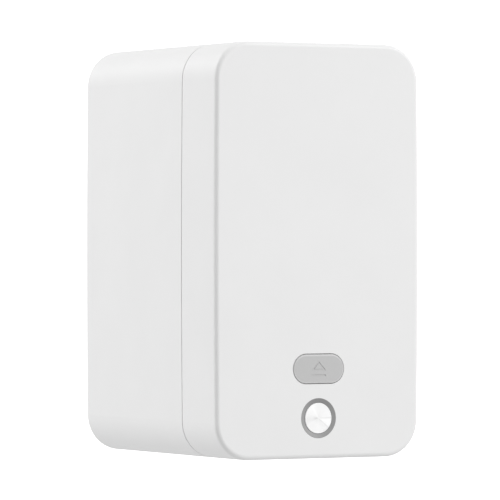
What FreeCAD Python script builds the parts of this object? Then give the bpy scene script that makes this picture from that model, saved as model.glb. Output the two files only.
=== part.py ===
import FreeCAD, Part
import os
from math import sin, cos, tan, atan2, sqrt, pi, radians, degrees, acos

os.makedirs("parts", exist_ok=True)

# ---------------------------------------------------------------- driving dimensions (mm)
FOOT_H = 0.4            # rubber feet stand this far below the case
BASE_Z = 0.8            # underside of the case while drawing; every piece is then moved so that the feet touch z = 0
FOOT_X, FOOT_R = 16.0, 4.5
CASE_H = 133.0          # height of the case
W_MID = 75.4            # width across the bowed side walls
R_SIDE = 4950.0         # bow radius of the side walls
R_CORNER = 12.0         # outer corner radius of the front outline
Y_FRONT, Y_BACK = -44.9, 44.9
Y_COVER_EDGE, Y_CASE_EDGE = -22.68, -22.32   # seam gap 0.36
WALL = 2.2
EDGE_R, REAR_EDGE_R = 1.5, 1.0    # rounding of the front and rear edges

HINGE_Y, HINGE_Z = -17.6, 4.4
HINGE_R, HINGE_PIN_R = 2.5, 1.25

OPEN_Z, OPEN_W, OPEN_H = 29.55, 18.7, 9.38     # release button
OPEN_GAP_X, OPEN_GAP_Z = 0.10, 0.18             # gap at its ends, and above and below it
OPEN_PROUD, OPEN_R = 0.15, 0.35     # how far the button stands out, and the rounding of its rim
POWER_Z, RING_R, CAP_R = 13.76, 6.4, 4.93    # power button
CAP_DEEP = 0.10         # how far the cap lies behind the front face
RING_DISH = 0.25        # depth of the dished face of the ring
SYMBOL_D = 0.15         # depth of the release symbol grooved into the button

PLATEN_Y, PLATEN_Z, PLATEN_R = -29.2, 118.0, 5.6
ROLL_Y, ROLL_Z, BAY_R = 8.0, 69.0, 28.5
BAY_HALF, BAY_WALL = 29.0, 1.6

M_FINE, M_MAIN = 0.5, 0.6
T_PLATEN, T_IDLER, T_SMALL, T_LARGE, T_PINION = 24, 21, 15, 36, 12
GUIDE_TRAVEL, T_GUIDE = 15.0, 16

Z0 = BASE_Z
ZC = Z0 + CASE_H / 2
ZTOP = Z0 + CASE_H


def V(x, y, z):
    return FreeCAD.Vector(x, y, z)


def box(x0, x1, y0, y1, z0, z1):
    return Part.makeBox(x1 - x0, y1 - y0, z1 - z0, V(x0, y0, z0))


def cx_(x0, x1, y, z, r):
    return Part.makeCylinder(r, x1 - x0, V(x0, y, z), V(1, 0, 0))


def cy_(y0, y1, x, z, r):
    return Part.makeCylinder(r, y1 - y0, V(x, y0, z), V(0, 1, 0))


def cz_(z0, z1, x, y, r):
    return Part.makeCylinder(r, z1 - z0, V(x, y, z0), V(0, 0, 1))


def poly(pts, vec):
    w = Part.makePolygon([V(*p) for p in pts] + [V(*pts[0])])
    return Part.Face(w).extrude(V(*vec))


def polyx(pts, x0, x1):
    """Outline in (y, z) drawn out along X."""
    return poly([(x0, a, b) for a, b in pts], (x1 - x0, 0, 0))


def fuse(*shapes):
    s = shapes[0]
    rest = []
    for k in shapes[1:]:
        rest += k if isinstance(k, (list, tuple)) else [k]
    s = s.fuse(rest) if rest else s
    return s.removeSplitter()


def cut(s, *tools):
    flat = []
    for k in tools:
        flat += k if isinstance(k, (list, tuple)) else [k]
    return s.cut(flat)


def both(fn):
    """A shape and its mirror on the other side of X = 0."""
    a = fn
    return [a, a.mirror(V(0, 0, 0), V(1, 0, 0))]


# outline of the case seen from the front, moved inwards by o
_cz = CASE_H / 2 - R_CORNER
_sx = W_MID / 2 - R_SIDE
_cx = _sx + sqrt((R_SIDE - R_CORNER) ** 2 - _cz ** 2)
_ang = atan2(_cz, _cx - _sx)


def outline(o, y):
    r, rs, hz = R_CORNER - o, R_SIDE - o, CASE_H / 2 - o
    tx, tz = _sx + rs * cos(_ang), rs * sin(_ang)
    mid = (_ang + pi / 2) / 2
    mx, mz = _cx + r * cos(mid), _cz + r * sin(mid)
    P = lambda x, z: V(x, y, ZC + z)
    half = W_MID / 2 - o
    e = [Part.Arc(P(tx, -tz), P(half, 0), P(tx, tz)).toShape(),
         Part.Arc(P(tx, tz), P(mx, mz), P(_cx, hz)).toShape(),
         Part.makeLine(P(_cx, hz), P(-_cx, hz)),
         Part.Arc(P(-_cx, hz), P(-mx, mz), P(-tx, tz)).toShape(),
         Part.Arc(P(-tx, tz), P(-half, 0), P(-tx, -tz)).toShape(),
         Part.Arc(P(-tx, -tz), P(-mx, -mz), P(-_cx, -hz)).toShape(),
         Part.makeLine(P(-_cx, -hz), P(_cx, -hz)),
         Part.Arc(P(_cx, -hz), P(mx, -mz), P(tx, -tz)).toShape()]
    return Part.Wire(e)


def slab(o, y0, y1):
    return Part.Face(outline(o, y0)).extrude(V(0, y1 - y0, 0))


def round_edges_at(s, y, r):
    es = [e for e in s.Edges if abs(e.BoundBox.YMin - y) < 1e-4 and abs(e.BoundBox.YMax - y) < 1e-4]
    return s.makeFillet(r, es)


def stadium(w, h, x, z, y0, y1):
    r = h / 2
    d = w / 2 - r
    s = fuse(box(x - d, x + d, y0, y1, z - r, z + r), cy_(y0, y1, x - d, z, r), cy_(y0, y1, x + d, z, r))
    return s


def gear(m, n, phase_deg, x0, x1, y, z, bore, play=0.13, add=0.8, ded=1.15, axis="x"):
    """Straight-flank-sampled involute spur gear; phase is the angle of one tooth centre."""
    rp = m * n / 2
    rb = rp * cos(radians(20))
    ra, rr = rp + add * m, rp - ded * m
    inv = lambda a: tan(a) - a
    half = (pi / (2 * n)) - (play / 2) / rp          # half tooth angle at the pitch circle
    def flank(r):
        if r <= rb:
            return half + inv(radians(20))
        return half + inv(radians(20)) - inv(acos(rb / r))
    r0 = max(rr, rb)
    rad = [rr] + [r0 + (ra - r0) * k / 4.0 for k in range(5)] if rr < rb else [rr + (ra - rr) * k / 4.0 for k in range(5)]
    pts = []
    for k in range(n):
        c = radians(phase_deg) + 2 * pi * k / n
        for r in rad:
            pts.append((r, c - flank(r)))
        for r in reversed(rad):
            pts.append((r, c + flank(r)))
    if axis == "x":
        p3 = [(x0, y + r * cos(a), z + r * sin(a)) for r, a in pts]
        s = poly(p3, (x1 - x0, 0, 0))
        return s.cut(cx_(x0 - 1, x1 + 1, y, z, bore)) if bore else s
    # axis along Y: x0, x1 are the y limits, y is the x of the centre; angle runs from +X to +Z
    p3 = [(y + r * cos(a), x0, z + r * sin(a)) for r, a in pts]
    s = poly(p3, (0, x1 - x0, 0))
    return s.cut(cy_(x0 - 1, x1 + 1, y, z, bore)) if bore else s


def mate_phase(phase_a, na, nb, direction):
    """Tooth phase of gear b, in mesh with gear a, lying in this direction from a."""
    ua = ((direction - phase_a) / (360.0 / na)) % 1.0
    ub = (0.5 - ua) % 1.0
    return direction + 180.0 - ub * (360.0 / nb)


def coil(x, y, z, axis, r, wire, length, turns, inset=0.02):
    """Coil spring starting at (x, y, z)."""
    pitch = (length - wire - 2 * inset) / turns
    h = Part.makeHelix(pitch, pitch * turns, r)
    c = Part.Wire([Part.makeCircle(wire / 2, V(r, 0, 0), V(0, 1, pitch / (2 * pi * r)))])
    s = Part.Wire(h).makePipeShell([c], True, True)
    s.translate(V(0, 0, wire / 2 + inset))
    if axis == "x":
        s.rotate(V(0, 0, 0), V(0, 1, 0), 90)
    elif axis == "y":
        s.rotate(V(0, 0, 0), V(1, 0, 0), -90)
    s.translate(V(x, y, z))
    return s


def screw(x, y, z, d, length, head_r=1.7, head_h=1.2, shank_r=0.78):
    """Pan-head screw; (x, y, z) is under the head, d the direction the shank points."""
    h = Part.makeCylinder(head_r, head_h, V(0, 0, -head_h))
    h = h.makeFillet(0.35, [e for e in h.Edges if abs(e.BoundBox.ZMax + head_h) < 1e-4 and abs(e.BoundBox.ZMin + head_h) < 1e-4])
    s = h.fuse(Part.makeCylinder(shank_r, length, V(0, 0, -0.1)))
    s = s.cut([Part.makeBox(1.9, 0.42, 0.7, V(-0.95, -0.21, -head_h - 0.1)), Part.makeBox(0.42, 1.9, 0.7, V(-0.21, -0.95, -head_h - 0.1))])
    rot = FreeCAD.Rotation(V(0, 0, 1), V(*d))
    s.Placement = FreeCAD.Placement(V(x, y, z), rot)
    return s


def save(name, shape):
    if isinstance(shape, (list, tuple)):
        shape = Part.makeCompound(list(shape))
    shape = shape.copy()
    shape.translate(V(0, 0, FOOT_H - BASE_Z))
    shape.exportStep("parts/%s.step" % name)


def z_out(x):
    """Height of the case underside above its lowest line at this x."""
    a = abs(x) - _cx
    return 0.0 if a <= 0 else R_CORNER - sqrt(max(R_CORNER ** 2 - a * a, 0.0))


# ================================================================ rear case
shell = round_edges_at(slab(0, Y_CASE_EDGE, Y_BACK), Y_BACK, REAR_EDGE_R)
shell = cut(shell, slab(WALL, Y_CASE_EDGE - 1, Y_BACK - WALL))
lip = fuse(slab(WALL - 0.3, -21.6, -18.0), slab(2.5, -24.0, -21.6)).cut(slab(3.9, -25.0, -17.0))
shell = fuse(shell, lip)
adds = []
for sx in (-1, 1):
    adds.append(cy_(-20.6, -9.0, sx * 29.4, 8.8, 4.4))                       # lower screw lugs
    for yy in (-6.0, 38.5):
        adds.append(cz_(2.6, 26.4, sx * 28.5, yy, 2.8))                      # board posts
    adds.append(box(min(sx * 25.6, sx * 26.8), max(sx * 25.6, sx * 26.8), 2.0, 33.0, 2.6, 11.0))   # battery ribs
for xx in (-22.0, 6.0):
    adds.append(cy_(15.4, Y_BACK - 1.5, xx, 123.0, 3.0))                     # long rear bosses
adds = [a.common(slab(0.8, -40, 44)) for a in adds]
shell = fuse(shell, adds)
cuts = []
for sx in (-1, 1):
    cuts.append(cy_(-21, -10.5, sx * 29.4, 8.8, 0.8))
    for yy in (-6.0, 38.5):
        cuts.append(cz_(16.0, 27.0, sx * 28.5, yy, 0.8))
    xa, xb = sorted((sx * 15.3, sx * 22.9))
    cuts.append(box(xa, xb, -25.0, -13.7, -1.0, 10.0))                        # slots the hinge arms swing through
    xa, xb = sorted((sx * 9.6, sx * 26.2))
    cuts.append(box(xa, xb, -25.0, -13.7, 1.5, 8.2).cut(box(-40, 40, -25.5, -22.0, 1.0, 3.0)))
for xx in (-22.0, 6.0):
    cuts.append(cy_(15.0, 27.0, xx, 123.0, 0.8))
for sx in (-1, 1):
    for yy in (-6.5, 36.0):
        cuts.append(cz_(-1, Z0 + 0.8, sx * FOOT_X, yy, FOOT_R + 0.1))                    # recesses for the feet
cuts.append(box(-27.6, 27.6, -25.0, -17.0, 128.0, ZTOP - WALL + 0.01))        # label path through the lip
cuts.append(box(-27.0, 27.0, -23.0, -21.35, 130.0, 140.0))                    # seat of the tear bar
cuts.append(box(-5.2, 5.2, -25.0, -17.0, 3.01, 12.0))                         # ribbon gap in the lip
cuts.append(stadium(9.7, 3.9, 0, 29.6, 42.0, 46.0))                           # charging port
cuts.append(cy_(42.0, 46.0, 13.0, 29.6, 0.65))                                # reset pin hole
shell = cut(shell, cuts)
shell = cut(shell, fuse(stadium(10.6, 4.8, 0, 29.6, Y_BACK - 0.5, Y_BACK + 1)))
save("rear_shell", shell)

# roll bay and mechanism frame, slid into the rear case from the front
frame = slab(4.2, -22.6, -20.8)
frame = cut(frame, box(-BAY_HALF, BAY_HALF, -24, -20, ROLL_Z - BAY_R, ROLL_Z + BAY_R),
            box(-28.2, 28.2, -24, -20, 103.0, 140.0))
ro = BAY_R + BAY_WALL
tub = fuse(cx_(-30.6, 30.6, ROLL_Y, ROLL_Z, ro), box(-30.6, 30.6, -21.6, ROLL_Y, ROLL_Z - ro, ROLL_Z + ro))
hollow = fuse(cx_(-BAY_HALF, BAY_HALF, ROLL_Y, ROLL_Z, BAY_R), box(-BAY_HALF, BAY_HALF, -30, ROLL_Y, ROLL_Z - BAY_R, ROLL_Z + BAY_R))
walls = []
for sx in (-1, 1):
    xa, xb = sorted((sx * 29.0, sx * 30.6))
    walls.append(box(xa, xb, -22.0, 15.2, 97.0, 129.2))
walls.append(box(-29.5, 29.5, -13.0, -11.4, 98.0, 129.2))       # spring wall behind the print head
walls.append(box(-29.5, 29.5, 13.6, 15.2, 98.0, 129.2))         # rear tie plate
walls.append(box(-30.6, 30.6, -21.2, -11.4, 127.6, 129.2))      # top plate
frame = fuse(frame, tub, walls)
frame = cut(frame, hollow)
adds = []
for sx in (-1, 1):
    xa, xb = sorted((sx * 23.2, sx * 24.7))
    adds.append(fuse(cx_(xa, xb, HINGE_Y, HINGE_Z, HINGE_R),
                     polyx([(-21.0, 6.4), (-17.6, 1.9 + 0.2), (-15.4, 3.6), (-16.6, 6.8), (-20.9, 11.0)], xa, xb)))
    xa, xb = sorted((sx * 30.2, sx * 33.1))
    adds.append(box(xa, xb, -13.0, -9.0, 92.4, 95.9))                      # seats of the catch springs
adds.append(cy_(36.6, 41.2, 0, ROLL_Z, 1.5))                                # post of the guide pinion
for zz in (80.5, 57.5):
    adds.append(cy_(34.0, 41.3, 0, zz, 2.2))
adds.append(box(-28.5, 28.5, 36.0, 40.9, 76.4, 77.4))
adds.append(box(-28.5, 28.5, 36.0, 40.9, 60.6, 61.6))
frame = fuse(frame, adds)
cuts = [hollow]
IDLER_Y = PLATEN_Y + M_MAIN * (T_PLATEN + T_IDLER) / 2 + 0.05
IDLER_Z = PLATEN_Z
d_ic = M_MAIN * (T_IDLER + T_SMALL) / 2 + 0.05
DIR_IC = -40.0
RED_Y, RED_Z = IDLER_Y + d_ic * cos(radians(DIR_IC)), IDLER_Z + d_ic * sin(radians(DIR_IC))
d_cm = M_FINE * (T_LARGE + T_PINION) / 2 + 0.05
DIR_CM = 30.0
MOT_Y, MOT_Z = RED_Y + d_cm * cos(radians(DIR_CM)), RED_Z + d_cm * sin(radians(DIR_CM))
HEAD_PIV_Y, HEAD_PIV_Z = -17.5, 105.5
for sx in (-1, 1):
    xa, xb = sorted((sx * 30.45, sx * 40.0))
    cuts.append(box(xa, xb, -24, -20, 84.5, 97.6))                        # hook slots in the bezel
    cuts.append(cy_(-24, -19, sx * 29.4, 8.8, 1.15))
    xa, xb = sorted((sx * 9.8, sx * 28.5))
    cuts.append(box(xa, xb, 30, 40, 65.3, 72.7))                          # guide slots
    xa, xb = sorted((sx * 15.2, sx * 23.0))
    cuts.append(box(xa, xb, -24, -13, 0, 10.6))                           # hinge arm slots
    cuts.append(cx_(min(sx * 22, sx * 27), max(sx * 22, sx * 27), HINGE_Y, HINGE_Z, HINGE_PIN_R + 0.01))
    cuts.append(cz_(88, 97, sx * 32.0, -11.0, 0.8))
    cuts.append(box(min(sx * 9.6, sx * 15.2), max(sx * 9.6, sx * 15.2), -24, -13, 0, 8.4))
cuts.append(box(30.3, 40, -24, -20, 108.6, 127.4))                        # gear slot in the bezel
cuts.append(cx_(-31, 31, HEAD_PIV_Y, HEAD_PIV_Z, 1.26))
cuts.append(cx_(28, 31, IDLER_Y, IDLER_Z, 1.26))
cuts.append(cx_(28, 31, RED_Y, RED_Z, 1.26))
cuts.append(cx_(28, 31, MOT_Y, MOT_Z, 3.3))
MOT_EAR = [(MOT_Y + s * 12.2 * cos(radians(50)), MOT_Z + s * 12.2 * sin(radians(50))) for s in (-1, 1)]
for (a, b) in MOT_EAR:
    cuts.append(cx_(28, 31, a, b, 0.8))
for xx in (-22.0, 6.0):
    cuts.append(cy_(13, 16, xx, 123.0, 1.15))
for zz in (80.5, 57.5):
    cuts.append(cy_(37.5, 42, 0, zz, 0.8))
cuts.append(box(-4.15, 4.15, -24, -18, 99.25, 102.55))                     # sensor window
cuts.append(cy_(-24, -19, -22.0, 34.5, 1.3))                               # cover switch plunger
cuts.append(box(-4.7, 4.7, -24, -19, 10.6, 13.4))                          # ribbon slot
for zz in (119.5,):
    for xx in (-14.0, 14.0):
        cuts.append(cy_(-13.2, -12.6, xx, zz, 2.9))                        # spring pockets
cuts.append(box(-45, 45, -23.5, -17.4, 100, 140).cut(slab(4.2, -24.0, -17.0)))   # keep clear of the case lip
frame = cut(frame, cuts)
solids = sorted(frame.Solids, key=lambda s: -s.Volume)
frame = solids[0]
save("roll_bay_frame", frame)



def foot(x, y):
    f = cz_(Z0 - FOOT_H, Z0 + 0.8, x, y, FOOT_R)
    return f.makeFillet(0.25, [e for e in f.Edges if e.BoundBox.ZMax < Z0 - FOOT_H + 0.01 and e.BoundBox.XLength > 1])


save("rubber_feet", [foot(sx * FOOT_X, yy) for sx in (-1, 1) for yy in (-6.5, 36.0)])

cells = fuse(cx_(-25.0, 25.0, 8.0, 12.6, 9.2), cx_(-25.0, 25.0, 26.8, 12.6, 9.2), box(-25.0, 25.0, 8.0, 26.8, 8.0, 17.2))
save("battery_pack", cells)

board = box(-31.0, 31.0, -9.0, 41.6, 26.4, 28.0)
board = cut(board, [cz_(26, 29, sx * 28.5, yy, 1.15) for sx in (-1, 1) for yy in (-6.0, 38.5)])
save("main_board", board)
comp = [box(-6, 6, 4, 16, 28.0, 29.4), box(-26, -10, 18, 32, 28.0, 30.6), box(10, 17, 20, 27, 28.0, 31.2), box(20, 26, 4, 10, 28.0, 31.0),
        box(-20, -12, 2, 8, 28.0, 29.6), box(12, 15, 6, 12, 28.0, 29.2), box(-24, -12, -7.5, -3.5, 28.0, 31.4), box(-6, 6, -7.5, -4.0, 28.0, 30.4),
        cz_(28.0, 33.5, 22.0, 31.0, 3.2), cz_(28.0, 33.5, 14.0, 33.5, 3.2), box(8, 20, -7.5, -3.5, 28.0, 32.0), box(-3, 2, 20, 23, 28.0, 29.0)]
save("board_components", comp)
usb = stadium(8.95, 3.2, 0, 29.6, 35.4, 43.9)
usb = fuse(usb.cut(stadium(8.35, 2.6, 0, 29.6, 36.6, 44.5)), box(-3.35, 3.35, 36.4, 42.8, 29.25, 29.95))
save("usb_c_socket", usb)
save("board_screws", [screw(sx * 28.5, yy, 28.0, (0, 0, -1), 7.0) for sx in (-1, 1) for yy in (-6.0, 38.5)])
save("frame_screws", [screw(sx * 29.4, -22.6, 8.8, (0, 1, 0), 9.0) for sx in (-1, 1)] + [screw(xx, 13.6, 123.0, (0, 1, 0), 9.0) for xx in (-22.0, 6.0)])

save("hinge_rods", both(cx_(9.9, 26.0, HINGE_Y, HINGE_Z, HINGE_PIN_R)))
tor = []
for sx in (-1, 1):
    xa = 10.2 if sx > 0 else -14.8
    c = coil(xa, HINGE_Y, HINGE_Z, "x", 1.85, 0.6, 4.6, 4)
    tor.append(c)
save("hinge_torsion_springs", tor)

catch = both(polyx([(-9.2, 95.9), (-9.2, 96.4), (-19.9, 96.4), (-19.9, 92.4), (-19.4, 92.4), (-19.4, 95.9)], 30.9, 33.1)
             .cut(cz_(95, 97, 32.0, -11.0, 0.9)))
save("latch_catch_springs", catch)
save("catch_screws", [screw(sx * 32.0, -11.0, 96.4, (0, 0, -1), 5.5, head_r=1.3, head_h=1.0) for sx in (-1, 1)])

pts = [(-26.4, -22.2, 128.4), (26.4, -22.2, 128.4), (26.4, -22.2, 132.4)]
nt = 44
for k in range(nt):
    xa = 26.4 - 52.8 * (k + 0.5) / nt
    xb = 26.4 - 52.8 * (k + 1.0) / nt
    pts += [(xa, -22.2, 133.3), (xb, -22.2, 132.4)]
save("tear_bar", poly(pts, (0, 0.55, 0)))

save("gap_sensor", fuse(box(-4, 4, -22.9, -18.9, 99.4, 102.4), box(-5.5, 5.5, -18.9, -17.7, 99.4, 102.4)))
save("cover_switch", fuse(box(-25.2, -18.8, -20.75, -17.0, 31.5, 37.5), cy_(-24.5, -20.6, -22.0, 34.5, 1.0)))

can = fuse(cx_(11.0, 28.1, MOT_Y, MOT_Z, 10.0), cx_(28.0, 30.5, MOT_Y, MOT_Z, 3.1), box(14.0, 22.0, MOT_Y - 5.0, MOT_Y + 5.0, MOT_Z - 12.0, MOT_Z - 8.0))
ears = fuse(cx_(28.1, 28.95, MOT_EAR[0][0], MOT_EAR[0][1], 2.3), cx_(28.1, 28.95, MOT_EAR[1][0], MOT_EAR[1][1], 2.3), cx_(28.05, 28.95, MOT_Y, MOT_Z, 9.6))
can = cut(fuse(can, ears), cx_(10, 31, MOT_Y, MOT_Z, 1.08), [cx_(28, 30, a, b, 0.9) for a, b in MOT_EAR])
save("stepper_motor", can)
save("motor_screws", [screw(28.05, a, b, (1, 0, 0), 2.4, head_r=1.4, head_h=0.9) for a, b in MOT_EAR])
save("gear_axles", [cx_(29.05, 33.1, IDLER_Y, IDLER_Z, 1.25), cx_(29.05, 35.0, RED_Y, RED_Z, 1.25)])
save("head_pivot_pin", cx_(-30.6, 30.6, HEAD_PIV_Y, HEAD_PIV_Z, 1.25))
save("head_springs", [coil(xx, -18.62, 119.5, "y", 2.1, 0.7, 6.0, 4) for xx in (-14.0, 14.0)])

rc = box(-12.0, 12.0, 41.35, 42.15, 54.6, 83.4)
rc = cut(rc, [cy_(41, 43, 0, zz, 1.0) for zz in (80.5, 57.5)])
save("rack_cover", rc)
save("rack_cover_screws", [fuse(cy_(42.15, 42.6, 0, zz, 1.6), cy_(38.2, 42.2, 0, zz, 0.78)) for zz in (80.5, 57.5)])

rib = fuse(box(-33.0, -32.7, 0.0, 12.0, 28.3, 112.0), box(-33.0, -30.9, 0.0, 12.0, 28.05, 28.35))
save("head_ribbon", fuse(rib, box(-33.0, -30.75, 0.0, 12.0, 111.7, 112.0)))

# ================================================================ gear train
PH_PLATEN = 0.0
PH_IDLER = mate_phase(PH_PLATEN, T_PLATEN, T_IDLER, 0.0)
PH_SMALL = mate_phase(PH_IDLER, T_IDLER, T_SMALL, DIR_IC)
PH_LARGE = 0.0
PH_PINION = mate_phase(PH_LARGE, T_LARGE, T_PINION, DIR_CM)
save("platen_gear", gear(M_MAIN, T_PLATEN, PH_PLATEN, 30.9, 33.0, PLATEN_Y, PLATEN_Z, 2.51))
save("idler_gear", gear(M_MAIN, T_IDLER, PH_IDLER, 30.9, 33.0, IDLER_Y, IDLER_Z, 1.30))
red = fuse(gear(M_MAIN, T_SMALL, PH_SMALL, 30.9, 33.3, RED_Y, RED_Z, 0), gear(M_FINE, T_LARGE, PH_LARGE, 33.2, 34.7, RED_Y, RED_Z, 0))
save("reduction_gear", red.cut(cx_(30, 36, RED_Y, RED_Z, 1.30)))
save("motor_pinion", gear(M_FINE, T_PINION, PH_PINION, 33.2, 34.8, MOT_Y, MOT_Z, 1.01))
save("motor_shaft", cx_(12.0, 34.9, MOT_Y, MOT_Z, 1.0))

# ================================================================ print head
save("print_head_ceramic", box(-26.5, 26.5, -23.45, -22.66, 110.0, 125.0))
save("print_head_driver_cover", box(-22.0, 22.0, -23.5, -22.66, 105.4, 109.6))
hs = box(-27.0, 27.0, -22.65, -19.66, 104.8, 126.0)
hs = cut(hs, [box(xx - 1.0, xx + 1.0, -21.0, -19.0, 110.0, 124.0) for xx in (-22, -18, -6, -2, 2, 6, 18, 22)])
save("print_head_heatsink", hs)
br = fuse(box(-27.2, 27.2, -19.65, -18.65, 103.3, 126.0), box(-27.2, -26.2, -19.0, -15.4, 103.3, 108.0), box(26.2, 27.2, -19.0, -15.4, 103.3, 108.0))
save("print_head_bracket", cut(br, cx_(-30, 30, HEAD_PIV_Y, HEAD_PIV_Z, 1.30)))

# ================================================================ roll guides
PIN_M = 0.5
PIN_RP = PIN_M * T_GUIDE / 2


def rack_teeth(x_from, x_to, z_pitch, up, y0, y1, x_phase):
    """Row of rack teeth pointing down (up False) or up; x_phase is one tooth centre."""
    p = pi * PIN_M
    half = p / 4 - 0.07
    k0 = int((x_from - x_phase) // p) + 1
    out = []
    k = k0
    s = 1 if up else -1
    while x_phase + k * p + p / 2 < x_to:
        c = x_phase + k * p
        a, dd = 0.8 * PIN_M, 1.15 * PIN_M
        t = tan(radians(20))
        out.append(poly([(c - half - dd * t, y0, z_pitch - s * (dd + 0.2)), (c - half + a * t, y0, z_pitch + s * a),
                         (c + half - a * t, y0, z_pitch + s * a), (c + half + dd * t, y0, z_pitch - s * (dd + 0.2))], (0, y1 - y0, 0)))
        k += 1
    return out


def roll_guide():
    plate = fuse(cx_(25.4, 27.9, ROLL_Y, ROLL_Z, 15.0), box(25.4, 27.9, ROLL_Y, 38.6, ROLL_Z - 3.4, ROLL_Z + 3.4),
                 polyx([(ROLL_Y, ROLL_Z - 15), (ROLL_Y, ROLL_Z + 15), (30.0, ROLL_Z + 3.4), (30.0, ROLL_Z - 3.4)], 25.4, 27.9))
    hub = cx_(21.4, 25.6, ROLL_Y, ROLL_Z, 10.5)
    hub = hub.makeChamfer(1.2, [e for e in hub.Edges if e.BoundBox.XMax < 21.5])
    hub = hub.cut(cx_(21.0, 24.4, ROLL_Y, ROLL_Z, 8.3))
    zp = ROLL_Z + PIN_RP + 0.03
    tail = box(25.4, 27.9, 38.5, 40.8, ROLL_Z - 3.4, 76.0)
    rack = box(-4.2, 27.9, 38.6, 40.8, zp + 1.15 * PIN_M, 76.0)
    teeth = rack_teeth(-3.9, 19.5, zp, False, 38.6, 40.8, pi * PIN_M / 2)
    return fuse(plate, hub, tail, rack, teeth)


rg = roll_guide()
save("right_roll_guide", rg)
lg = rg.copy()
lg.rotate(V(0, 0, ROLL_Z), V(0, 1, 0), 180)
save("left_roll_guide", lg)
# one tooth straight up meets the gap between rack teeth at x = 0
save("guide_pinion", gear(PIN_M, T_GUIDE, 90.0, 38.7, 40.7, 0.0, ROLL_Z, 1.56, play=0.14, axis="y"))

# ================================================================ front cover
cov = round_edges_at(slab(0, Y_FRONT, Y_COVER_EDGE), Y_FRONT, EDGE_R)
cov = cut(cov, slab(WALL, Y_FRONT + WALL, Y_COVER_EDGE + 1))
collar = stadium(25.6, 16.4, 0, OPEN_Z, -43.4, -39.2).cut(stadium(23.2, 14.0, 0, OPEN_Z, -44, -39))
adds = [collar]
PANEL_SCREWS = [(sx * a, b) for sx in (-1, 1) for a, b in ((28.0, 12.0), (24.0, 80.0), (22.0, 104.0))]
for a, b in PANEL_SCREWS:
    adds.append(cy_(-43.4, -27.4, a, b, 2.4))
for sx in (-1, 1):
    xa, xb = sorted((sx * 33.4, sx * 34.4))
    adds.append(box(xa, xb, -43.4, -36.6, 62.0, 84.0))
    xa, xb = sorted((sx * 12.0, sx * 18.0))
    adds.append(box(xa, xb, -43.4, -35.4, 44.4, 46.2))
    adds.append(cy_(-43.4, -36.62, sx * 11.5, 7.4, 2.0))
cov = fuse(cov, adds)
cuts = [stadium(OPEN_W + 2 * OPEN_GAP_X, OPEN_H + 2 * OPEN_GAP_Z, 0, OPEN_Z, -46, -42.0), cy_(-46, -42, 0, POWER_Z, RING_R + 0.02),
        box(-27.0, 27.0, -25.2, -22.0, 130.0, 140.0)]
for a, b in PANEL_SCREWS:
    cuts.append(cy_(-38.0, -27.0, a, b, 0.8))
for sx in (-1, 1):
    cuts.append(cy_(-41.0, -36.0, sx * 11.5, 7.4, 0.8))
# relief that lets the lower edge swing past the case
g = HINGE_Y - Y_CASE_EDGE
xs = [0.0, _cx] + [_cx + 8.6 * k / 8 for k in range(1, 9)]
rel = [(x, sqrt(g * g + (HINGE_Z - Z0 - z_out(x)) ** 2 if HINGE_Z - Z0 - z_out(x) > 0 else g * g) + 0.12) for x in xs]
gen = [(-x, HINGE_Y, HINGE_Z - r) for x, r in reversed(rel)] + [(x, HINGE_Y, HINGE_Z - r) for x, r in rel[1:]]
gen = gen + [(gen[-1][0], HINGE_Y, HINGE_Z), (gen[0][0], HINGE_Y, HINGE_Z)]
gw = Part.makePolygon([V(*p) for p in gen] + [V(*gen[0])])
cuts.append(Part.Face(gw).revolve(V(0, HINGE_Y, HINGE_Z), V(1, 0, 0), 360))
cov = cut(cov, cuts)
save("front_cover", cov)

pan = slab(2.5, -27.4, -25.8)
pan = cut(pan, box(-27.2, 27.2, -28, -25, PLATEN_Z - 7.2, PLATEN_Z + 7.2))
trough = cx_(-28.0, 28.0, PLATEN_Y, PLATEN_Z, 8.4).cut(cx_(-29, 29, PLATEN_Y, PLATEN_Z, 7.2)).common(box(-30, 30, -40, -26.0, 100, 130))
adds = [trough]
for sx in (-1, 1):
    xa, xb = sorted((sx * 27.4, sx * 29.2))
    adds.append(fuse(cx_(xa, xb, PLATEN_Y, PLATEN_Z, 5.6), polyx([(-37.0, 114.5), (-37.0, 121.5), (-30.0, 126.2), (-25.6, 126.2), (-24.4, 121.0), (-24.4, 115.0), (-25.6, 109.8), (-30.0, 109.8)], xa, xb)))
    xa, xb = sorted((sx * 15.8, sx * 22.4))
    adds.append(fuse(cx_(xa, xb, HINGE_Y, HINGE_Z, HINGE_R),
                     polyx([(-27.0, 3.5), (-24.2, 3.5), (-18.6, 2.2), (-16.2, 6.4), (-21.5, 9.4), (-27.0, 9.4)], xa, xb)))
adds.append(cy_(-26.2, -24.7, -22.0, 34.5, 1.8))
pan = fuse(pan, adds)
cuts = []
for sx in (-1, 1):
    xa, xb = sorted((sx * 30.3, sx * 33.5))
    cuts.append(box(xa, xb, -28, -25, 84.6, 95.4))
    cuts.append(cx_(min(sx * 26, sx * 31.2), max(sx * 26, sx * 31.2), PLATEN_Y, PLATEN_Z, 4.0))
    cuts.append(cx_(min(sx * 26, sx * 27.4), max(sx * 26, sx * 27.4), PLATEN_Y, PLATEN_Z, 5.1))
    cuts.append(cx_(min(sx * 15, sx * 23), max(sx * 15, sx * 23), HINGE_Y, HINGE_Z, HINGE_PIN_R + 0.05))
cuts.append(box(30.5, 33.4, -30, -24, 109.6, 126.4))
for a, b in PANEL_SCREWS:
    cuts.append(cy_(-28, -25, a, b, 1.15))
cuts.append(box(-4.7, 4.7, -28, -25, 8.6, 11.4))
cuts.append(box(-50, 50, -30, -25.5, 0, 3.4))
pan = cut(pan, cuts)
pan = sorted(pan.Solids, key=lambda s: -s.Volume)[0]
save("cover_inner_panel", pan)
save("panel_screws", [screw(a, -25.8, b, (0, -1, 0), 8.0, head_r=1.6, head_h=0.7) for a, b in PANEL_SCREWS])

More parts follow.
